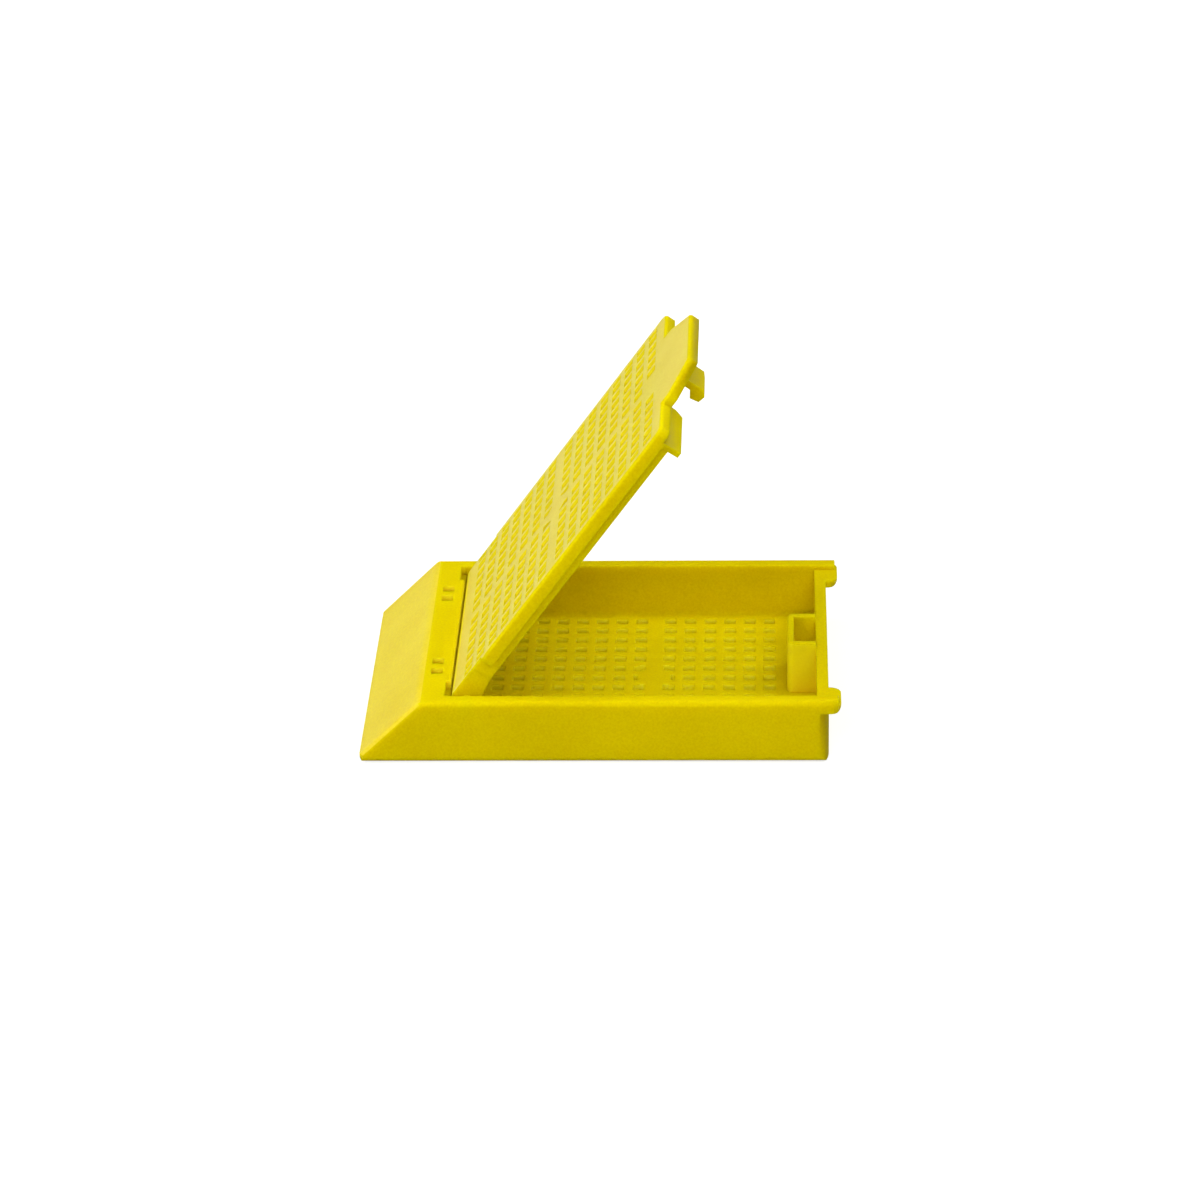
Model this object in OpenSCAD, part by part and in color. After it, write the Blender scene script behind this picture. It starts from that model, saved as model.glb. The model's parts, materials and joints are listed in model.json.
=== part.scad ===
// Tissue cassette: a perforated tray with a sloped writing face and a
// perforated lid that swings on two moulded pins and snaps shut at the far end.
// Millimetres. The origin is at the middle of the footprint, on the surface
// that the tray stands on. +X points to the latch, +Z is up.

/* [Tray] */
// Length of the tray without its end lugs
body_l = 40.25; // [36:0.05:50]
// Width of the tray
body_w = 28.5; // [24:0.1:36]
// Height of the side walls
body_h = 5.8; // [5:0.1:8]
// Thickness of the side walls at the rim
wall_t = 1.4; // [1.2:0.05:1.8]
// Thickness of the latch end wall
end_wall_t = 1; // [0.7:0.05:1.4]
// Thickness of the perforated floor
floor_t = 1; // [0.8:0.05:1.4]
// How much thicker a side wall is at the floor than at the rim
draft = 0.25; // [0:0.05:0.4]
// Radius between the floor and the side walls
floor_r = 0.5; // [0.1:0.05:0.8]
// Radius of the upright corners at the latch end
corner_r = 0.8; // [0.3:0.1:1.2]
// Radius of the upright corners at the foot of the slope
foot_corner_r = 0.6; // [0.2:0.1:1.2]
// Radius along the upper outer edges
edge_r = 0.45; // [0.1:0.05:0.5]
// Radius along the bottom outer edges
base_r = 0.6; // [0.1:0.05:0.7]

/* [Writing slope] */
// Horizontal length of the slope
slope_l = 5.2; // [4:0.1:7]
// Height of the upright lip at the foot of the slope
foot_h = 0.7; // [0.6:0.1:1.6]
// Radius where the slope turns into the strip
brow_r = 1.5; // [0.5:0.1:2.5]
// Depth of the level strip between the slope and the lid
strip_l = 2.6; // [2:0.1:4]
// Thickness of the shell under the slope and the strip
shell_t = 1.1; // [0.8:0.05:1.3]
// Distance from the middle of the strip to the middle of a pair of pits
pit_y = 7.2; // [4:0.1:10]
// Distance between the two pits of a pair
pit_pitch = 1.9; // [1.4:0.1:3]
// Side of a pit
pit_size = 1; // [0.6:0.1:1.2]
// Depth of a pit
pit_depth = 0.45; // [0.2:0.05:0.6]

/* [Lid] */
// Gap between the lid and each side wall
lid_gap = 0.15; // [0.1:0.05:0.3]
// Thickness of the lid plate
plate_t = 0.95; // [0.8:0.05:1.2]
// How far the end wall's top lies below the side walls
seat_drop = 0.45; // [0.2:0.05:0.7]
// How far the plate reaches over the inner face of the end wall
seat_lap = 0.7; // [0.3:0.05:0.8]
// Length of the thumb tab beyond the plate
tab_l = 3.8; // [2:0.1:5]
// Width of the thumb tab at its end
tab_tip_w = 9.8; // [6:0.1:14]
// Width of the thumb tab at its root
tab_root_w = 14.4; // [10:0.1:18]
// Depth of the edge lip along the long sides, from the plate's top
lip_depth = 1.2; // [1:0.05:1.5]
// Depth of the stiffening rib inside the lip, from the plate's top
rib_depth = 1.85; // [1.4:0.05:2.2]
// Depth of the end skirt, from the plate's top
skirt_depth = 2.75; // [2:0.05:3.2]
// Distance from the plate's end to the outer face of the skirt
skirt_inset = 0.95; // [0.8:0.05:1.6]

/* [Hinge] */
// Radius of the rolled hinge end of the lid
roll_r = 1.35; // [1.2:0.05:1.6]
// Angle from closed to which the lid swings free of the strip
lid_swing = 98.5; // [60:0.5:120]
// Least gap between the rolled end and the strip
roll_gap = 0.14; // [0.08:0.01:0.3]
// Radius of the hinge pins
pin_r = 0.5; // [0.35:0.05:0.6]
// Radial running clearance of the pins in their sockets
pin_clear = 0.05; // [0.02:0.01:0.1]
// Depth of the sockets in the side walls
socket_depth = 0.85; // [0.5:0.05:1]
// Angle at which the lid stands open
open_angle = 54; // [0:1:98]

/* [Latch] */
// Width of the latch tongue
tongue_w = 4.1; // [3:0.1:5]
// Thickness of the tongue's stem
tongue_t = 0.65; // [0.5:0.05:0.9]
// Gap between the tongue and the end wall
tongue_gap = 0.12; // [0.08:0.01:0.2]
// Depth of the tongue's tip, from the plate's top
tongue_depth = 3.9; // [3.4:0.1:4.2]
// Depth of the barb's catch face, from the plate's top
barb_depth = 2.5; // [2.2:0.05:2.8]
// How far the barb stands out from the stem
barb_out = 0.65; // [0.3:0.05:0.8]
// Inner width of the latch pocket
pocket_w = 4.8; // [3.4:0.1:6]
// Inner length of the latch pocket, up to the end wall
pocket_l = 1.9; // [1.6:0.05:3]
// Thickness of the pocket's own walls
pocket_wall = 0.6; // [0.5:0.05:1]

/* [Perforations] */
// Side of a square floor hole
floor_hole = 1; // [0.6:0.05:1.2]
// Distance from hole to hole along the floor
floor_pitch = 1.78; // [1.6:0.01:2.4]
// Distance from hole to hole across the floor
floor_row_pitch = 1.87; // [1.6:0.01:2.4]
// Distance from the foot of the slope to the floor's plain cross rib
floor_rib_x = 25; // [20:0.1:28]
// Width of the floor's plain cross rib
floor_rib_w = 1.6; // [0.8:0.05:2]
// Length of a lid slot
slot_l = 1.2; // [0.8:0.05:1.3]
// Width of a lid slot
slot_w = 0.85; // [0.5:0.05:1]
// Distance from slot to slot along the lid
slot_pitch = 1.85; // [1.7:0.01:2.4]
// Distance from slot to slot across the lid
slot_row_pitch = 1.75; // [1.6:0.01:2.4]
// Distance from the hinge axis to the lid's plain cross rib
lid_rib_x = 14.45; // [10:0.05:18]
// Width of the lid's plain cross rib
lid_rib_w = 1.35; // [0.8:0.05:2]
// Width of the lid's plain spine
lid_spine_w = 1.65; // [0.8:0.05:2]
// Radius of the plain disc where the ribs meet
disc_r = 1.5; // [1:0.05:2]

/* [Hidden] */

cut = 0.1;                 // how far cutting solids reach past a face

lug_out = 1.05;            // end lugs: reach, width, height, corner radii
lug_w = 3.7;
lug_h = 1.15;
lug_r = 0.95;
lug_under_r = 0.55;
rim_setback = 0.2;         // the rim over a lug stops short of its end
rear_t = 0.9;              // wall between the slope's hollow and the tray
foot_t = 1;                // thickness of the shell at the slope's foot
rib_t = 0.9;               // ribs under the slope: thickness and place
rib_y = 4.6;
cheek_t = 0.6;             // bearing cheeks on the side walls
cheek_r = 1.25;
cheek_gap = 0.2;
cheek_drop = 0.05;
pin_end_play = 0.1;
knuckle_relief = 0.22;     // extra room in front of the knuckles
seat_play = 0.02;          // closed plate to end wall
catch_play = 0.08;         // barb to the catch bar above it
window_play = 0.2;         // barb to the window's sill
pocket_r = 0.55;           // outer corners of the pocket

knuckle_t = 1.45;          // lugs at the lid's hinge corners
knuckle_l = 2.9;
neck_l = 4.15;             // narrow stretch of the lid beside the cheeks
lip_w = 0.6;
rib_in = 0.55;             // stiffening rib: inset and thickness
rib_w = 0.5;
skirt_t = 0.5;
skirt_gap = 1.35;          // skirt's inner ends to the latch pocket
skirt_chamfer = 0.7;
skirt_side = 0.2;          // skirt's outer ends, set in for the wall's draft
relief_gap = 0.15;         // plate's relief round the pocket's rim
plate_r = 0.8;             // corners of the plate
tab_straight = 0.9;        // thumb tab: parallel stretch, outer corners
tab_r = 0.4;
edge_slot_w = 0.6;         // narrow slots beside the ribs
hole_margin = 0.8;         // least plain margin round the floor's holes
slot_margin = 0.1;

total_l = body_l + lug_out;
strip_end = slope_l + strip_l;
inner_w = body_w - 2 * wall_t;
floor_w = inner_w - 2 * draft;
inner_end = body_l - end_wall_t;
seat_z = body_h - seat_drop;
slope_a = atan2(body_h - foot_h, slope_l);
tray_color = [0.87, 0.8, 0.02];
lid_color = [0.92, 0.85, 0.12];

plate_top = seat_z + seat_play + plate_t; // height of the closed lid
roll_drop = body_h - (plate_top - roll_r); // hinge axis below the strip's top
strip_gap = max(roll_gap, (roll_r - roll_drop * cos(lid_swing)) / sin(lid_swing) - roll_r);
pivot = [strip_end + strip_gap + roll_r, plate_top - roll_r];
lid_w = inner_w - 2 * lid_gap;
neck_w = inner_w - 2 * (cheek_t + cheek_gap);
plate_l = inner_end + seat_lap - pivot[0];
skirt_x = plate_l - skirt_inset - skirt_t;
rib_inner = lid_w / 2 - rib_in - rib_w;

pocket_x = inner_end - pocket_l;
pocket_out_w = pocket_w + 2 * pocket_wall;
window_top = plate_top - barb_depth + catch_play;
window_bottom = plate_top - tongue_depth - window_play;

// Centres of the hole columns on both sides of a plain rib, as many as fit.
function fit_count(room, pitch, hole) = max(0, floor((room - hole) / pitch) + 1);
function columns(rib_x, rib_w, pitch, hole, from, to) = [
    for (side = [-1, 1])
        let (room = (side < 0 ? rib_x - from : to - rib_x) - rib_w / 2)
            for (k = [0 : 1 : fit_count(room, pitch, hole) - 1])
                rib_x + side * ((rib_w + hole) / 2 + k * pitch)
];

floor_columns = columns(floor_rib_x, floor_rib_w, floor_pitch, floor_hole,
    strip_end + hole_margin, pocket_x - pocket_wall - hole_margin / 2);
floor_rows_side = fit_count(floor_w / 2 - hole_margin / 2, floor_row_pitch, floor_hole / 2);
lid_columns = columns(lid_rib_x, lid_rib_w, slot_pitch, slot_l,
    roll_r + slot_margin, skirt_x + 2 * slot_margin);
lid_rows_side = fit_count(rib_inner - edge_slot_w - 3 * slot_margin - lid_spine_w / 2,
    slot_row_pitch, slot_w);

// Extrudes an outline in X and Z along Y, centred on Y = 0.
module across(width) {
    rotate([90, 0, 0]) linear_extrude(height = width, center = true) children();
}

// Extrudes an outline in Y and Z along X.
module along(length) {
    rotate([90, 0, 90]) linear_extrude(height = length) children();
}

module rounded_rect(size, r) {
    translate([r, 0]) square([size[0] - 2 * r, size[1]]);
    translate([0, r]) square([size[0], size[1] - 2 * r]);
    for (x = [r, size[0] - r], y = [r, size[1] - r])
        translate([x, y]) circle(r = r, $fn = 48);
}

// Rectangle whose corners are rounded at its far X end only.
module far_rounded(size, r) {
    intersection() {
        translate([-3 * r, 0]) rounded_rect([size[0] + 3 * r, size[1]], r);
        square(size);
    }
}

// Side view of the tray, with the brow of the slope rounded.
module side_view() {
    reach = brow_r * tan(slope_a / 2);
    intersection() {
        union() {
            polygon([
                [0, 0], [0, foot_h], [slope_l - reach * cos(slope_a), body_h - reach * sin(slope_a)],
                [slope_l + reach, body_h], [body_l, body_h], [body_l, 0]
            ]);
            translate([slope_l + reach, body_h - brow_r]) circle(r = brow_r, $fn = 96);
        }
        rounded_rect([body_l, 2 * body_h], base_r);
    }
}

// End view of the tray, rounded above and below.
module end_view() {
    translate([-body_w / 2, 0]) intersection() {
        rounded_rect([body_w, 2 * body_h], base_r);
        translate([0, -body_h]) rounded_rect([body_w, 2 * body_h], edge_r);
    }
}

// Outer form of the tray: side view, end view, plan and slope, met together.
module tray_block() {
    intersection() {
        across(body_w) side_view();
        along(body_l) end_view();
        linear_extrude(height = body_h) translate([0, -body_w / 2]) intersection() {
            far_rounded([body_l, body_w], corner_r);
            translate([body_l, 0]) mirror([1, 0]) far_rounded([body_l, body_w], foot_corner_r);
        }
        translate([0, 0, foot_h]) rotate([0, -slope_a, 0]) translate([-body_l, 0, 0])
            along(3 * body_l) translate([-body_w / 2, -2 * body_l])
                rounded_rect([body_w, 2 * body_l], edge_r);
    }
}

// Hollow that holds the specimen, with drafted side walls.
module tray_hollow() {
    over = 2 * body_h;
    bend = floor_t + floor_r;
    flare = draft * (over - bend) / (body_h - bend);
    flat = floor_w / 2 - floor_r;
    translate([strip_end, 0, 0]) along(inner_end - strip_end) {
        polygon([
            [-flat, floor_t], [flat, floor_t], [floor_w / 2, bend],
            [floor_w / 2 + flare, over], [-floor_w / 2 - flare, over], [-floor_w / 2, bend]
        ]);
        for (side = [-1, 1]) translate([side * flat, bend]) circle(r = floor_r, $fn = 64);
    }
    translate([inner_end - cut, -inner_w / 2, seat_z])
        cube([end_wall_t + 2 * cut, inner_w, body_h]);
    for (side = [-1, 1])
        translate([strip_end - knuckle_relief, side * (inner_w - knuckle_t - wall_t) / 2, body_h])
            cube([2 * knuckle_relief, knuckle_t + wall_t - cut, 2 * (body_h - pivot[1])], center = true);
}

// Hollow under the slope, open below, with two ribs left standing.
module slope_hollow() {
    roof = body_h - shell_t;
    back = strip_end - rear_t;
    lift = shell_t / cos(slope_a);
    foot_z = foot_h + foot_t * tan(slope_a) - lift;
    knee_x = (roof + lift - foot_h) / tan(slope_a);
    difference() {
        across(floor_w) polygon([
            [foot_t, -cut], [foot_t, foot_z], [knee_x, roof], [back, roof], [back, -cut]
        ]);
        for (side = [-1, 1])
            translate([0, side * rib_y - rib_t / 2, -2 * cut])
                cube([strip_end, rib_t, body_h]);
    }
}

module pits() {
    for (side = [-1, 1], pair = [-1, 1])
        translate([
            slope_l + strip_l / 2, side * pit_y + pair * pit_pitch / 2, body_h
        ]) cube([pit_size, pit_size, 2 * pit_depth], center = true);
}

// Rounded lug at a top corner of the latch end, under the run of the rim.
module end_lug(side) {
    reach = lug_out + end_wall_t;
    translate([inner_end, 0, 0]) intersection() {
        linear_extrude(height = body_h)
            translate([0, side > 0 ? body_w / 2 - lug_w : -body_w / 2])
                far_rounded([reach, lug_w], lug_r);
        across(2 * body_w) translate([0, body_h - lug_h])
            far_rounded([reach, lug_h + lug_under_r], lug_under_r);
        along(reach) end_view();
        union() {
            translate([0, -body_w, 0]) cube([reach, 2 * body_w, seat_z]);
            translate([0, side > 0 ? inner_w / 2 : -body_w / 2, 0])
                cube([reach - rim_setback, wall_t, body_h]);
        }
    }
}

// Pocket behind the latch window, which keeps the specimen away from it.
module latch_pocket() {
    translate([pocket_x - pocket_wall, -pocket_out_w / 2, 0])
        linear_extrude(height = body_h)
            mirror([1, 0]) translate([-pocket_l - pocket_wall, 0])
                far_rounded([pocket_l + pocket_wall, pocket_out_w], pocket_r);
}

module latch_room() {
    translate([pocket_x, -pocket_w / 2, window_bottom])
        cube([pocket_l, pocket_w, body_h]);
    translate([pocket_x, -pocket_w / 2, window_bottom])
        cube([body_l - pocket_x + cut, pocket_w, window_top - window_bottom]);
}

// Bearing cheek on a side wall, below the rim.
module cheek(side) {
    top = seat_z - cheek_drop;
    thick = cheek_t + draft;
    translate([pivot[0], side * (inner_w / 2 - cheek_t + thick / 2), 0])
        across(thick) intersection() {
            union() {
                translate([0, pivot[1]]) circle(r = cheek_r, $fn = 64);
                translate([-cheek_r, 0]) square([2 * cheek_r, pivot[1]]);
            }
            translate([-cheek_r, 0]) square([2 * cheek_r, top]);
        }
}

module socket(side) {
    depth = socket_depth + cheek_t + cut;
    translate([pivot[0], side * (inner_w / 2 + socket_depth - depth / 2), pivot[1]])
        rotate([90, 0, 0])
            cylinder(r = pin_r + pin_clear, h = depth, center = true, $fn = 48);
}

module floor_holes() {
    translate([0, 0, -cut]) linear_extrude(height = floor_t + 2 * cut) difference() {
        for (x = floor_columns, k = [-floor_rows_side + 1 : floor_rows_side - 1])
            translate([x, k * floor_row_pitch]) square(floor_hole, center = true);
        translate([floor_rib_x, 0]) circle(r = disc_r, $fn = 64);
    }
}

module base() {
    color(tray_color) translate([-total_l / 2, 0, 0]) difference() {
        union() {
            difference() {
                tray_block();
                tray_hollow();
                slope_hollow();
            }
            for (side = [-1, 1]) {
                end_lug(side);
                cheek(side);
            }
            latch_pocket();
        }
        latch_room();
        pits();
        floor_holes();
        for (side = [-1, 1]) socket(side);
    }
}

// Plan of the thumb tab, its outer corners rounded.
module tab_plan() {
    root = tab_root_w / 2;
    tip = tab_tip_w / 2;
    taper = atan2(root - tip, tab_l - tab_straight);
    reach = tab_r * tan((90 - taper) / 2);
    side_end = [tab_l - reach * cos(taper), tip + reach * sin(taper)];
    polygon([
        [-cut, -root], [tab_straight, -root], [side_end[0], -side_end[1]],
        [tab_l, reach - tip], [tab_l, tip - reach],
        side_end, [tab_straight, root], [-cut, root]
    ]);
    for (side = [-1, 1])
        translate([tab_l - tab_r, side * (tip - reach)]) circle(r = tab_r, $fn = 48);
}

// Plan of the plate with its narrow hinge end, rounded corners and thumb tab.
module plate_plan() {
    translate([0, -neck_w / 2]) square([neck_l + cut, neck_w]);
    translate([neck_l, -lid_w / 2]) far_rounded([plate_l - neck_l, lid_w], plate_r);
    translate([plate_l, 0]) tab_plan();
}

// Rolled end of the plate, round the hinge axis.
module rolled_end() {
    across(neck_w) intersection() {
        difference() {
            circle(r = roll_r, $fn = 96);
            circle(r = roll_r - plate_t, $fn = 64);
        }
        translate([-roll_r, -roll_r / 4]) square([roll_r + cut, 2 * roll_r]);
    }
}

// Lug at a hinge corner with its pin. It tapers up to the plate.
module knuckle(side) {
    reach = (inner_w - neck_w) / 2 + socket_depth - pin_end_play;
    translate([0, side * (neck_w - knuckle_t) / 2, 0]) across(knuckle_t) {
        circle(r = roll_r, $fn = 96);
        tangent = 50;
        polygon([
            [0, roll_r], [0, 0], roll_r * [sin(tangent), -cos(tangent)],
            [knuckle_l, plate_z() - rib_depth], [knuckle_l, roll_r]
        ]);
    }
    translate([0, side * (neck_w + reach - knuckle_t / 2) / 2, 0]) rotate([90, 0, 0])
        cylinder(r = pin_r, h = reach + knuckle_t / 2, center = true, $fn = 48);
}

function plate_z() = roll_r;

// Lip and stiffening rib along a long side.
module side_rib(side) {
    lip_y = side > 0 ? lid_w / 2 - lip_w : -lid_w / 2;
    rib_y0 = side > 0 ? rib_inner : -rib_inner - rib_w;
    translate([neck_l, lip_y, plate_z() - lip_depth])
        cube([skirt_x - neck_l + cut, lip_w, lip_depth - cut]);
    translate([knuckle_l - cut, rib_y0, plate_z() - rib_depth])
        cube([skirt_x - knuckle_l + 2 * cut, rib_w, rib_depth - cut]);
}

// Half of the end skirt, which drops inside the end wall.
module skirt(side) {
    inner = pocket_out_w / 2 + skirt_gap;
    outer = lid_w / 2;
    low = plate_z() - skirt_depth;
    translate([skirt_x, 0, 0]) along(skirt_t) polygon([for (p = [
        [inner, plate_z() - cut], [inner, low + skirt_chamfer], [inner + skirt_chamfer, low],
        [outer - skirt_side, low], [outer, plate_z() - lip_depth], [outer, plate_z() - cut]
    ]) [side * p[0], p[1]]]);
}

// Snap tongue: it runs down outside the end wall, and its barb turns inward.
module tongue() {
    back = body_l + tongue_gap - pivot[0];
    front = back + tongue_t;
    tip = plate_z() - tongue_depth;
    catch_z = plate_z() - barb_depth;
    slant = 0.42;
    lead = 0.15;
    across(tongue_w) polygon([
        [back, plate_z() - cut], [back, catch_z], [back - barb_out, catch_z - slant],
        [back - barb_out + lead, tip + lead], [back + lead, tip],
        [front, tip + slant], [front, plate_z() - cut]
    ]);
}

module lid_slots() {
    last = max(lid_columns);
    edge_y = rib_inner - edge_slot_w / 2;
    linear_extrude(height = 2 * plate_z()) difference() {
        for (x = lid_columns, side = [-1, 1]) {
            for (k = [0 : lid_rows_side - 1]) if (x < last || k > 0)
                translate([x, side * ((lid_spine_w + slot_w) / 2 + k * slot_row_pitch)])
                    square([slot_l, slot_w], center = true);
            translate([x, side * edge_y]) square([slot_l, edge_slot_w], center = true);
        }
        translate([lid_rib_x, 0]) circle(r = disc_r, $fn = 64);
    }
}

// Relief under the plate for the rim of the latch pocket.
module pocket_relief() {
    room = pocket_out_w + 2 * relief_gap;
    translate([pocket_x - pocket_wall - relief_gap - pivot[0], -room / 2, -roll_r])
        cube([pocket_l + pocket_wall + 2 * relief_gap, room,
            body_h + relief_gap / 2 - pivot[1] + roll_r]);
}

// The lid about its hinge axis, in the closed position.
module lid_closed() {
    difference() {
        union() {
            translate([0, 0, plate_z() - plate_t]) linear_extrude(height = plate_t) plate_plan();
            rolled_end();
            for (side = [-1, 1]) {
                knuckle(side);
                side_rib(side);
                skirt(side);
            }
            tongue();
        }
        lid_slots();
        pocket_relief();
    }
}

module lid() {
    color(lid_color) translate([pivot[0] - total_l / 2, 0, pivot[1]])
        rotate([0, -open_angle, 0]) lid_closed();
}

base();
lid();
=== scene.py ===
import json
import math

import bmesh
import bpy
from mathutils import Matrix, Vector


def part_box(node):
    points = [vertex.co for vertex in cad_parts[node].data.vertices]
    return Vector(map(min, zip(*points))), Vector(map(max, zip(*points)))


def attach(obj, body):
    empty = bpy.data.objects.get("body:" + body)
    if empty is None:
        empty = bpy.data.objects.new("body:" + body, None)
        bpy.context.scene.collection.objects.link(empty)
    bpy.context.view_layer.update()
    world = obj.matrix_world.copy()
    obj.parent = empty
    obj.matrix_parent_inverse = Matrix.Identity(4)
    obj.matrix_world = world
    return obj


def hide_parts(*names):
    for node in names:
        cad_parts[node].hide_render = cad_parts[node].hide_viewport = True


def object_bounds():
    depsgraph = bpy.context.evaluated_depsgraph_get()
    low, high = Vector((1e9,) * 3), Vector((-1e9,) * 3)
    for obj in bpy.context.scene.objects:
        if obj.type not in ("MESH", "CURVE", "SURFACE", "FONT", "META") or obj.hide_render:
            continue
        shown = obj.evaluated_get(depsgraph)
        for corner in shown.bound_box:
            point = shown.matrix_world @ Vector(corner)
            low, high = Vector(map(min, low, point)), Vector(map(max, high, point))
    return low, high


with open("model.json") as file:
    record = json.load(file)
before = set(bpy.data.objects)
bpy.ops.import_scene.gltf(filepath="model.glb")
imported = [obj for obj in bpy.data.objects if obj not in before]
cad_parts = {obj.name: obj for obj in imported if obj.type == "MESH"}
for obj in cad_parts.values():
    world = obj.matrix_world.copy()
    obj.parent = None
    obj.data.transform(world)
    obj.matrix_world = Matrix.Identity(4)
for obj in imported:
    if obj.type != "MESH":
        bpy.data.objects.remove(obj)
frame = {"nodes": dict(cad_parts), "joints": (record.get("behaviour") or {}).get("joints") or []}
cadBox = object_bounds()
mm = 0.001
scene = bpy.context.scene
print("frame loaded:", sorted(frame["nodes"]))

limits = {
    "merge": 0.0005 * mm,           # corners nearer than this are one
    "flat": math.radians(0.4),      # faces that turn less than this are one
    "sharp": math.radians(50),      # edges that turn more than this can be rounded
    "smooth": math.radians(40),     # edges that turn less than this are shaded smooth
    "level": 0.01 * mm,             # nearer than this counts as on a level
    "along": 0.9,                   # a normal with this much of a direction points that way
    "across": 0.3,                  # and with less than this it doesn't
}


def linearColor(hexCode):
    channels = [int(hexCode[i:i + 2], 16) / 255 for i in (1, 3, 5)]
    return [c / 12.92 if c <= 0.04045 else ((c + 0.055) / 1.055) ** 2.4 for c in channels] + [1]


def addNode(material, kind, settings=None, links=None):
    # settings: input or property -> value; links: input -> output socket; an input goes by name or number
    node = material.node_tree.nodes.new(kind)
    for name, value in (settings or {}).items():
        if isinstance(name, int) or name in node.inputs:
            node.inputs[name].default_value = value
        else:
            setattr(node, name, value)
    for name, output in (links or {}).items():
        material.node_tree.links.new(output, node.inputs[name])
    return node


def newMaterial(name):
    material = bpy.data.materials.new(name)
    material.use_nodes = True
    material.node_tree.nodes.clear()
    return material


def finishMaterial(material, shader):
    addNode(material, "ShaderNodeOutputMaterial", {}, {"Surface": shader})
    return material


def makeActive(piece):
    bpy.ops.object.select_all(action="DESELECT")
    piece.select_set(True)
    bpy.context.view_layer.objects.active = piece


acetal = {
    "deep": "#D9C200",
    "light": "#E6D200",
    "ramp": (0.35, 0.65),       # how far into the pattern deep ends and light starts
    "sheen": "#F0D840",         # reflections seen head-on take the plastic's colour
    "roughness": 0.55,
    "roughnessSpread": 0.05,
    "ior": 1.48,                # acetal
    "gloss": 0.1,               # satin mould faces reflect less than polished ones
    "grainMm": 0.2,             # satin mould face, drawn coarser so that it shows
    "grainShare": 0.6,          # the rest of the pattern is cloud
    "cloudMm": 9,               # slow change of shade along the flow
    "edgeMm": 0.2,              # moulded edges are never quite sharp
    "glowMm": 1.2,              # how far light spreads inside
    "glowReach": (1, 1, 0.25),  # red and green go further than blue
    "translucence": 1.0,
    "bump": 0.5,
    "bumpMm": 0.03,
}

# painted light: the walls of the lid's slots and of the slope's pits are painted lighter than the plain plastic,
# for light reaching into them
slotWallsPaintedLight = {**acetal, "deep": "#E2CA10", "light": "#EAD41A", "edgeMm": 0.1}

# painted light: the webs between the floor's holes, the strip's end face and the lid's rolled end are painted
# lighter, for the light that comes from all sides there
floorWebsPaintedLight = {**acetal, "deep": "#FAE41C", "light": "#FEEC30", "glowMm": 1.5, "edgeMm": 0.1}

# thin as well; painted light: painted warmer and lighter for the light between pocket and walls
pocketSidesPaintedLight = {**floorWebsPaintedLight, "deep": "#F8DA10", "light": "#FEE31A"}

# the writing slope: spark-eroded grain, bump and gloss, and a paler, lighter colour that is a painted reflection
# of the light from the upper left
writingFacePaintedSheen = {
    **acetal,
    "deep": "#E8CD20",
    "light": "#F6DF3E",
    "gloss": 0.5,
    "grainMm": 0.24,            # spark-eroded mould face, drawn a little coarse so that it shows
    "cloudMm": 6,
    "translucence": 0.8,
    "bump": 1.0,
}

# a finer grain of spark; painted paler still, a painted reflection of the light from the left
lidFacePaintedSheen = {**writingFacePaintedSheen, "deep": "#E5CF40", "light": "#EFDD5E"}


def mouldedAcetal(name, look):
    # Injection-moulded acetal: opaque yellow with a faint glow in thin walls and a soft satin gloss.
    material = newMaterial(name)
    place = addNode(material, "ShaderNodeTexCoord").outputs["Object"]
    cloud = addNode(material, "ShaderNodeTexNoise",
                    {"Scale": 1 / (look["cloudMm"] * mm), "Detail": 3, "Roughness": 0.5}, {"Vector": place})
    grain = addNode(material, "ShaderNodeTexNoise",
                    {"Scale": 1 / (look["grainMm"] * mm), "Detail": 2, "Roughness": 0.6}, {"Vector": place})
    speckled = addNode(material, "ShaderNodeMix", {"Factor": look["grainShare"]},
                       {"A": cloud.outputs["Fac"], "B": grain.outputs["Fac"]})
    tint = addNode(material, "ShaderNodeValToRGB", {}, {"Fac": speckled.outputs["Result"]})
    for element, position, shade in zip(tint.color_ramp.elements, look["ramp"], (look["deep"], look["light"])):
        element.position = position
        element.color = linearColor(shade)
    gloss = addNode(material, "ShaderNodeMapRange",
                    {"From Min": 0.3, "From Max": 0.7,
                     "To Min": look["roughness"] - look["roughnessSpread"],
                     "To Max": look["roughness"] + look["roughnessSpread"]},
                    {"Value": grain.outputs["Fac"]})
    worn = addNode(material, "ShaderNodeBevel", {"samples": 6, "Radius": look["edgeMm"] * mm})
    relief = addNode(material, "ShaderNodeBump", {"Strength": look["bump"], "Distance": look["bumpMm"] * mm},
                     {"Height": grain.outputs["Fac"], "Normal": worn.outputs["Normal"]})
    shader = addNode(material, "ShaderNodeBsdfPrincipled",
                     {"IOR": look["ior"], "Specular IOR Level": look["gloss"],
                      "Specular Tint": linearColor(look["sheen"]),
                      "Subsurface Weight": look["translucence"], "Subsurface Scale": look["glowMm"] * mm,
                      "Subsurface Radius": look["glowReach"]},
                     {"Base Color": tint.outputs["Color"], "Roughness": gloss.outputs["Result"],
                      "Normal": relief.outputs["Normal"]})
    return finishMaterial(material, shader.outputs["BSDF"])


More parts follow.
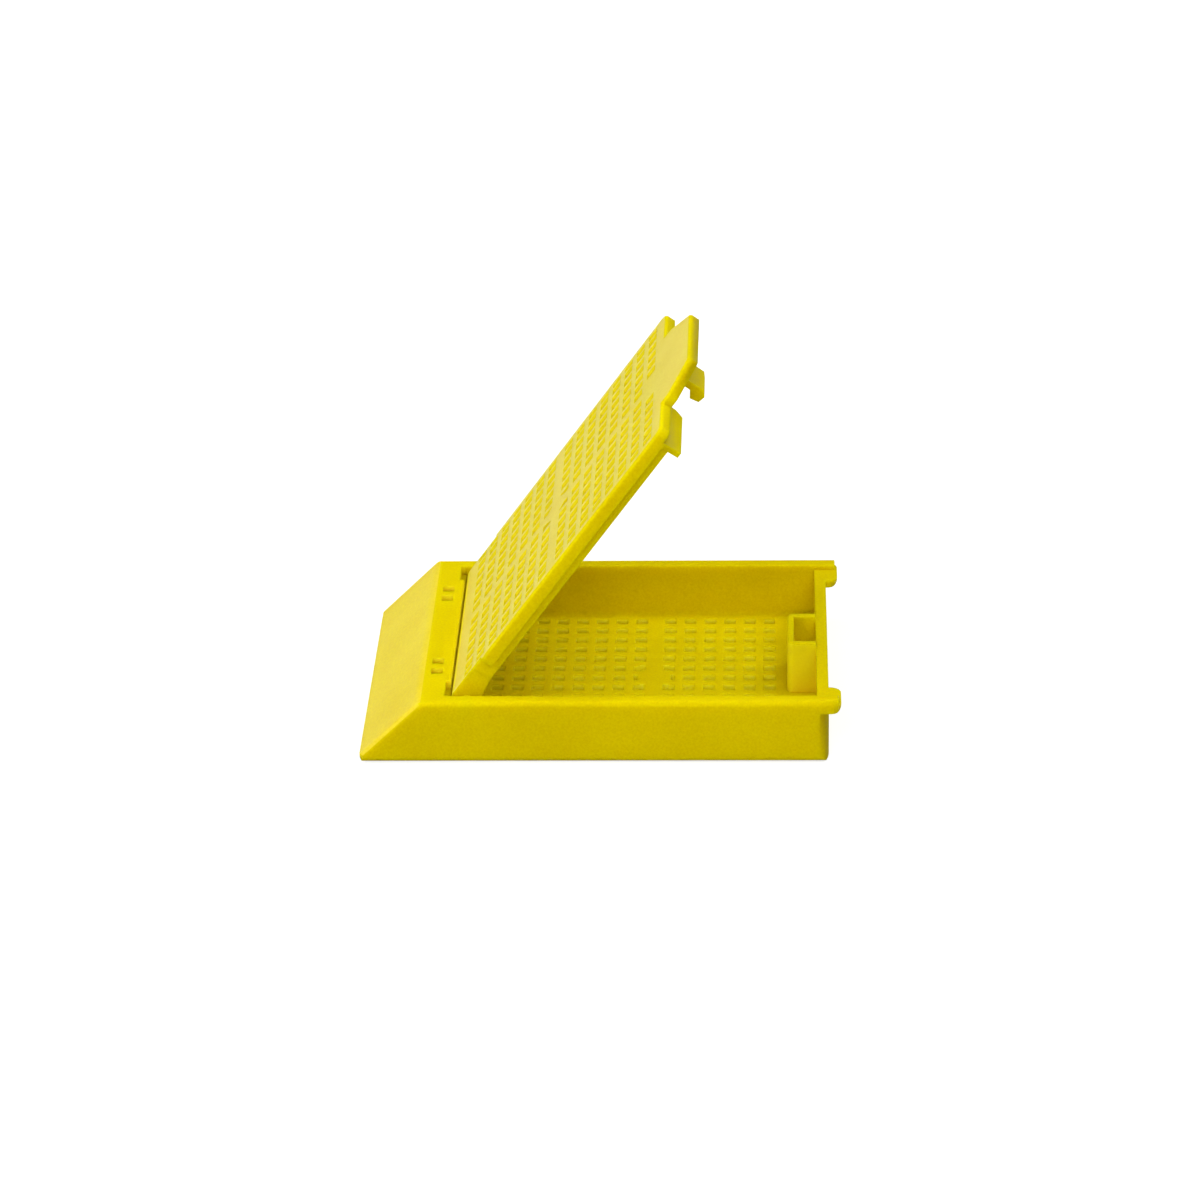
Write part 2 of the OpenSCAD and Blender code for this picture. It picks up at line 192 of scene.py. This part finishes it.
satinAcetal = mouldedAcetal("satinMouldedAcetal", acetal)
slotPaintedLightAcetal = mouldedAcetal("slotWallPaintedLightAcetal", slotWallsPaintedLight)
webPaintedLightAcetal = mouldedAcetal("thinWallPaintedLightAcetal", floorWebsPaintedLight)
pocketPaintedLightAcetal = mouldedAcetal("pocketWallPaintedLightAcetal", pocketSidesPaintedLight)
erodedPaintedSheenAcetal = mouldedAcetal("sparkErodedPaintedSheenAcetal", writingFacePaintedSheen)
palePaintedSheenAcetal = mouldedAcetal("fineErodedPaintedSheenAcetal", lidFacePaintedSheen)
print("materials made")


def columnsBeside(rib, ribWide, pitch, hole, before, after):
    # middles of the columns of holes on both sides of a plain rib
    first = (ribWide + hole) / 2
    return [rib - first - k * pitch for k in range(before)] + [rib + first + k * pitch for k in range(after)]


def mergedCopy(nodeName, pieceName, cuts):
    # a node's mesh with its doubles merged and its flat faces whole again, parted through the holes by the cuts
    source = frame["nodes"][nodeName]
    piece = bpy.data.objects.new(pieceName, source.data.copy())
    scene.collection.objects.link(piece)
    piece.data.materials.clear()
    makeActive(piece)
    bpy.ops.object.mode_set(mode="EDIT")
    bpy.ops.mesh.select_all(action="SELECT")
    bpy.ops.mesh.remove_doubles(threshold=limits["merge"])
    for point, normal in cuts:
        bpy.ops.mesh.select_all(action="SELECT")
        bpy.ops.mesh.bisect(plane_co=point, plane_no=normal)
        bpy.ops.mesh.mark_seam()
    bpy.ops.mesh.select_all(action="SELECT")
    bpy.ops.mesh.dissolve_limited(angle_limit=limits["flat"], delimit={"SEAM"})
    bpy.ops.object.mode_set(mode="OBJECT")
    return piece


def roundEdges(piece, radius, isWanted, segments=3, clamp=False):
    # rounds the sharp outer edges whose two ends isWanted accepts
    makeActive(piece)
    bpy.ops.object.mode_set(mode="EDIT")
    bpy.ops.mesh.select_mode(type="EDGE")
    bpy.ops.mesh.select_all(action="DESELECT")
    work = bmesh.from_edit_mesh(piece.data)
    count = 0
    for edge in work.edges:
        if len(edge.link_faces) == 2 and edge.is_convex and edge.calc_face_angle() > limits["sharp"]:
            if isWanted(edge.verts[0].co, edge.verts[1].co):
                edge.select_set(True)
                count += 1
    bmesh.update_edit_mesh(piece.data)
    if count:
        bpy.ops.mesh.bevel(offset=radius, segments=segments, affect="EDGES", clamp_overlap=clamp)
    bpy.ops.object.mode_set(mode="OBJECT")
    print(piece.name, "rounded", count, "edges")


def paintFaces(piece, materials, chooseMaterial):
    for material in materials:
        piece.data.materials.append(material)
    for face in piece.data.polygons:
        face.material_index = materials.index(chooseMaterial(face))


def finishCopy(piece, nodeName, bodyName):
    makeActive(piece)
    bpy.ops.object.shade_smooth_by_angle(angle=limits["smooth"])
    weighted = piece.modifiers.new("flat faces", "WEIGHTED_NORMAL")
    weighted.keep_sharp = True
    bpy.ops.object.modifier_apply(modifier=weighted.name)
    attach(piece, bodyName)
    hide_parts(nodeName)
    print(piece.name, "has", len(piece.data.polygons), "faces")


trayLook = {
    "stripEnd": 7.8 * mm,           # from the foot of the slope to the end of the level strip
    "stripEndPlay": 0.1 * mm,
    "stripEndLean": 0.3 * mm,       # the strip's end face lies within this of stripEnd
    "floorLevel": 1.0 * mm,
    "floorRib": 25 * mm,            # plain rib between the two fields of holes
    "floorRibWide": 1.6 * mm,
    "holePitch": 1.78 * mm,
    "hole": 1.0 * mm,
    "columns": (9, 6),
    "holesReach": 12 * mm,
    "pocket": (36.5 * mm, 39.3 * mm),       # latch pocket along the tray: outer and inner limits
    "pocketInside": 37.3 * mm,
    "pocketReach": (2.45 * mm, 3.1 * mm),   # its side walls across the tray
    "pitFloor": 5.3 * mm,
    "pitWall": 0.6 * mm ** 2,       # no wall of a pit is larger
    "rimRound": 0.15 * mm,
    "endWallRound": 0.1 * mm,
    "endWallDrop": 0.45 * mm,       # below the rim
    "holeRound": 0.1 * mm,
    "discKeeps": 1.8 * mm,          # holes this near the floor's plain disc keep their edges
}

foot = Vector((cadBox[0][0], 0, 0))
floorDisc = foot + Vector((trayLook["floorRib"], 0, trayLook["floorLevel"]))
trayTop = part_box("base")[1][2]
floorColumns = columnsBeside(trayLook["floorRib"], trayLook["floorRibWide"], trayLook["holePitch"],
                             trayLook["hole"], *trayLook["columns"])
trayPiece = mergedCopy("base", "tray", [(foot + Vector((x, 0, 0)), (1, 0, 0)) for x in floorColumns])


def onRim(a, b):
    pastStrip = min(a.x, b.x) > foot.x + trayLook["stripEnd"] - trayLook["stripEndPlay"]
    return pastStrip and min(a.z, b.z) > trayTop - limits["level"]


def onEndWall(a, b):
    level = trayTop - trayLook["endWallDrop"]
    return max(abs(a.z - level), abs(b.z - level)) < limits["level"]


def onHoleMouth(a, b):
    level = max(abs(a.z - trayLook["floorLevel"]), abs(b.z - trayLook["floorLevel"])) < limits["level"]
    inField = max(abs(a.y), abs(b.y)) < trayLook["holesReach"]
    return level and inField and min((a - floorDisc).length, (b - floorDisc).length) > trayLook["discKeeps"]


def trayMaterial(face):
    spot = face.center - foot
    reach = abs(spot.y)
    aboveFloor = spot.z > trayLook["floorLevel"]
    # the writing slope takes the painted sheen
    if spot.x < trayLook["stripEnd"] and face.normal.x < -limits["across"] and face.normal.z > limits["across"]:
        return erodedPaintedSheenAcetal     # the writing slope
    # painted light on the strip's end face
    if aboveFloor and face.normal.x > limits["along"]:
        if abs(spot.x - trayLook["stripEnd"]) < trayLook["stripEndLean"]:
            return webPaintedLightAcetal
    if abs(face.normal.z) < limits["across"] and reach < trayLook["holesReach"]:
        # painted light on the walls of the floor's holes
        if spot.z < trayLook["floorLevel"] and spot.x > trayLook["stripEnd"] + trayLook["stripEndPlay"]:
            return webPaintedLightAcetal
        # the pit walls get the painted light of the slot walls
        if spot.z > trayLook["pitFloor"] and spot.x < trayLook["stripEnd"] and face.area < trayLook["pitWall"]:
            return slotPaintedLightAcetal
        outside = spot.x < trayLook["pocketInside"] or reach > trayLook["pocketReach"][0]
        atPocket = trayLook["pocket"][0] < spot.x < trayLook["pocket"][1] and reach < trayLook["pocketReach"][1]
        # painted light on the pocket's sides
        if aboveFloor and atPocket and outside:
            return pocketPaintedLightAcetal
    return satinAcetal


roundEdges(trayPiece, trayLook["rimRound"], onRim)
roundEdges(trayPiece, trayLook["endWallRound"], onEndWall, clamp=True)
roundEdges(trayPiece, trayLook["holeRound"], onHoleMouth, segments=2)
paintFaces(trayPiece, [satinAcetal, erodedPaintedSheenAcetal, webPaintedLightAcetal, slotPaintedLightAcetal, pocketPaintedLightAcetal], trayMaterial)
finishCopy(trayPiece, "base", "tray")

lidLook = {
    "plateTop": 1.35 * mm,          # above the hinge axis when closed
    "plateThickness": 0.95 * mm,
    "plateRib": 14.45 * mm,         # from the hinge axis, as the slots are
    "plateRibWide": 1.35 * mm,
    "slotPitch": 1.85 * mm,
    "slot": 1.2 * mm,
    "columns": (7, 8),
    "slotsFrom": 1.3 * mm,
    "slotsTo": 29.7 * mm,
    "slotsReach": 11.7 * mm,
    "neckSide": 12.05 * mm,         # the neck beside the hinge is too shallow to round
    "sidePlay": 0.05 * mm,
    "endFrom": 30 * mm,             # the plate's free end and the tab lie further out than this
    "rollTo": 0.2 * mm,             # the rolled end lies nearer to the hinge than this
    "slotWall": 1.3 * mm ** 2,      # no slot wall is larger
    "plateRound": 0.25 * mm,
    "slotFlare": 0.2 * mm,
    "discKeeps": 2.3 * mm,          # slots this near the plate's plain disc keep their edges
    "lipDepth": 1.2 * mm,
    "lipRound": 0.12 * mm,
}

hinge = frame["joints"][0]
axis = Vector(hinge["pos_m"])
openBy = math.radians(-hinge["range_deg"][0])
along = Vector((math.cos(openBy), 0, math.sin(openBy)))
outward = Vector((-math.sin(openBy), 0, math.cos(openBy)))
slotColumns = columnsBeside(lidLook["plateRib"], lidLook["plateRibWide"], lidLook["slotPitch"],
                            lidLook["slot"], *lidLook["columns"])
lidPiece = mergedCopy("lid", "perforatedLid", [(axis + along * reach, along) for reach in slotColumns])


def lidSpot(point):
    # along the lid from the hinge axis, across, and up through its thickness
    fromAxis = point - axis
    return Vector((fromAxis.dot(along), fromAxis.y, fromAxis.dot(outward)))


def inSlotField(spot):
    return lidLook["slotsFrom"] < spot.x < lidLook["slotsTo"] and abs(spot.y) < lidLook["slotsReach"]


def onOutline(a, b, height):
    ends = [lidSpot(a), lidSpot(b)]
    level = all(abs(end.z - height) < limits["level"] for end in ends)
    besideNeck = lidLook["neckSide"] + lidLook["sidePlay"]
    return level and all(abs(end.y) > besideNeck or end.x > lidLook["endFrom"] for end in ends)


def onPlateEdge(a, b):
    return onOutline(a, b, lidLook["plateTop"])


def onLipEdge(a, b):
    return onOutline(a, b, lidLook["plateTop"] - lidLook["lipDepth"])


def flareSlots(piece, flare):
    # the long walls of each slot lean outwards over the last bit of their height
    makeActive(piece)
    bpy.ops.object.mode_set(mode="EDIT")
    bpy.ops.mesh.select_mode(type="FACE")
    bpy.ops.mesh.select_all(action="DESELECT")
    work = bmesh.from_edit_mesh(piece.data)
    for face in work.faces:
        upright = abs(face.normal.dot(outward)) < limits["across"]
        face.select_set(upright and inSlotField(lidSpot(face.calc_center_median())))
    bpy.ops.mesh.bisect(plane_co=axis + outward * (lidLook["plateTop"] - flare), plane_no=outward)
    disc = Vector((lidLook["plateRib"], 0, lidLook["plateTop"]))
    bpy.ops.mesh.select_mode(type="VERT")
    count = 0
    for side in (-1, 1):
        bpy.ops.mesh.select_all(action="DESELECT")
        work = bmesh.from_edit_mesh(piece.data)
        for vert in work.verts:
            spot = lidSpot(vert.co)
            onTop = abs(spot.z - lidLook["plateTop"]) < limits["level"]
            if onTop and inSlotField(spot) and (spot - disc).length > lidLook["discKeeps"]:
                if any(face.normal.y * side < -limits["along"] for face in vert.link_faces):
                    vert.select_set(True)
                    count += 1
        bmesh.update_edit_mesh(piece.data)
        bpy.ops.transform.translate(value=(0, side * flare, 0))
    bpy.ops.object.mode_set(mode="OBJECT")
    print(piece.name, "flared", count, "corners")


def lidMaterial(face):
    spot = lidSpot(face.center)
    top = lidLook["plateTop"] - limits["level"]
    underside = lidLook["plateTop"] - lidLook["plateThickness"] - lidLook["sidePlay"]
    inside = abs(spot.y) < lidLook["neckSide"] - lidLook["sidePlay"]
    wall = face.area < lidLook["slotWall"] and abs(face.normal.dot(outward)) < limits["along"]
    # the slot walls get their painted light
    if wall and inside and underside < spot.z < top and lidLook["slotsFrom"] < spot.x < lidLook["slotsTo"]:
        return slotPaintedLightAcetal
    # painted light on the lid's rolled end
    if inside and spot.x < lidLook["rollTo"]:
        return webPaintedLightAcetal
    # the lid's top takes the painted sheen
    if spot.z > top:
        return palePaintedSheenAcetal
    return satinAcetal


roundEdges(lidPiece, lidLook["plateRound"], onPlateEdge)
flareSlots(lidPiece, lidLook["slotFlare"])
roundEdges(lidPiece, lidLook["lipRound"], onLipEdge)
paintFaces(lidPiece, [satinAcetal, slotPaintedLightAcetal, palePaintedSheenAcetal, webPaintedLightAcetal], lidMaterial)
finishCopy(lidPiece, "lid", "lid")

ground = {
    "size": 3.0,                # metres
    "below": 0.03 * mm,         # just under the tray's flat underside
    "dark": "#B6B6B6",
    "light": "#BCBCBC",
    "fibreMm": 2.5,
    "lift": 0.7,                # own light, seen by the camera, in reflections and through glass only
}

bpy.ops.mesh.primitive_plane_add(size=ground["size"], location=(0, 0, -ground["below"]))
ground["object"] = bpy.context.active_object
ground["object"].name = "paperFloor"
paper = newMaterial("mattWhitePaper")   # matt paper sweep: no gloss, pure white where it is lit
paperSpot = addNode(paper, "ShaderNodeTexCoord").outputs["Object"]
paperFibre = addNode(paper, "ShaderNodeTexNoise", {"Scale": 1 / (ground["fibreMm"] * mm), "Detail": 2},
                     {"Vector": paperSpot})
paperTint = addNode(paper, "ShaderNodeValToRGB", {}, {"Fac": paperFibre.outputs["Fac"]})
paperTint.color_ramp.elements[0].color = linearColor(ground["dark"])
paperTint.color_ramp.elements[1].color = linearColor(ground["light"])
paperDiffuse = addNode(paper, "ShaderNodeBsdfDiffuse", {}, {"Color": paperTint.outputs["Color"]})
rays = addNode(paper, "ShaderNodeLightPath")
seen = rays.outputs["Is Camera Ray"]
for ray in ("Is Glossy Ray", "Is Transmission Ray"):
    seen = addNode(paper, "ShaderNodeMath", {"operation": "MAXIMUM"}, {0: seen, 1: rays.outputs[ray]}).outputs[0]
lift = addNode(paper, "ShaderNodeMath", {"operation": "MULTIPLY", 1: ground["lift"]}, {0: seen})
paperGlow = addNode(paper, "ShaderNodeEmission", {}, {"Strength": lift.outputs[0]})
paperSum = addNode(paper, "ShaderNodeAddShader", {}, {0: paperDiffuse.outputs[0], 1: paperGlow.outputs[0]})
finishMaterial(paper, paperSum.outputs[0])
ground["object"].data.materials.append(paper)

room = {"color": (1, 1, 1, 1), "strength": 0.05}    # faint light from all sides
world = bpy.data.worlds.new("softRoom")
scene.world = world
world.use_nodes = True
world.node_tree.nodes["Background"].inputs["Color"].default_value = room["color"]
world.node_tree.nodes["Background"].inputs["Strength"].default_value = room["strength"]

lamps = {   # place and size in metres, energy in watts
    "windowBox": {"at": (-0.42, -0.05, 0.38), "size": 0.45, "energy": 2.2},
    "leftBox": {"at": (-0.35, -0.35, 0.38), "size": 0.45, "energy": 0.3},
    "frontBox": {"at": (0.0, -0.5, 0.32), "size": 0.45, "energy": 1.8},
    "skyBox": {"at": (0.3, 0.08, 0.5), "size": 0.5, "energy": 1.9},
}
lampTarget = Vector((0, 0, 0.01))
for name, lamp in lamps.items():
    data = bpy.data.lights.new(name, "AREA")
    data.shape = "SQUARE"
    data.size = lamp["size"]
    data.energy = lamp["energy"]
    item = bpy.data.objects.new(name, data)
    item.location = lamp["at"]
    item.rotation_euler = (lampTarget - Vector(lamp["at"])).to_track_quat("-Z", "Y").to_euler()
    scene.collection.objects.link(item)

view = {
    "lens": 137.09,         # millimetres, as the sensor
    "sensor": 36,
    "target": Vector((-0.28, 0.0, 8.59)) * mm,
    "distance": 0.4003,     # metres
    "azimuth": math.radians(-2.360),
    "elevation": math.radians(25.873),
    "roll": math.radians(-1.172),
}
forward = Vector((math.sin(view["azimuth"]) * math.cos(view["elevation"]),
                  math.cos(view["azimuth"]) * math.cos(view["elevation"]),
                  -math.sin(view["elevation"])))
right = Vector((math.cos(view["azimuth"]), -math.sin(view["azimuth"]), 0))
upward = right.cross(forward)
rolledRight = right * math.cos(view["roll"]) + upward * math.sin(view["roll"])
rolledUp = -right * math.sin(view["roll"]) + upward * math.cos(view["roll"])
cameraData = bpy.data.cameras.new("studioCamera")
cameraData.lens = view["lens"]
cameraData.sensor_width = view["sensor"]
camera = bpy.data.objects.new("studioCamera", cameraData)
turn = Matrix((rolledRight, rolledUp, -forward)).transposed().to_4x4()
camera.matrix_world = Matrix.Translation(view["target"] - forward * view["distance"]) @ turn
scene.collection.objects.link(camera)
scene.camera = camera
scene.view_settings.view_transform = "Standard"
print("stage, lamps and camera set")
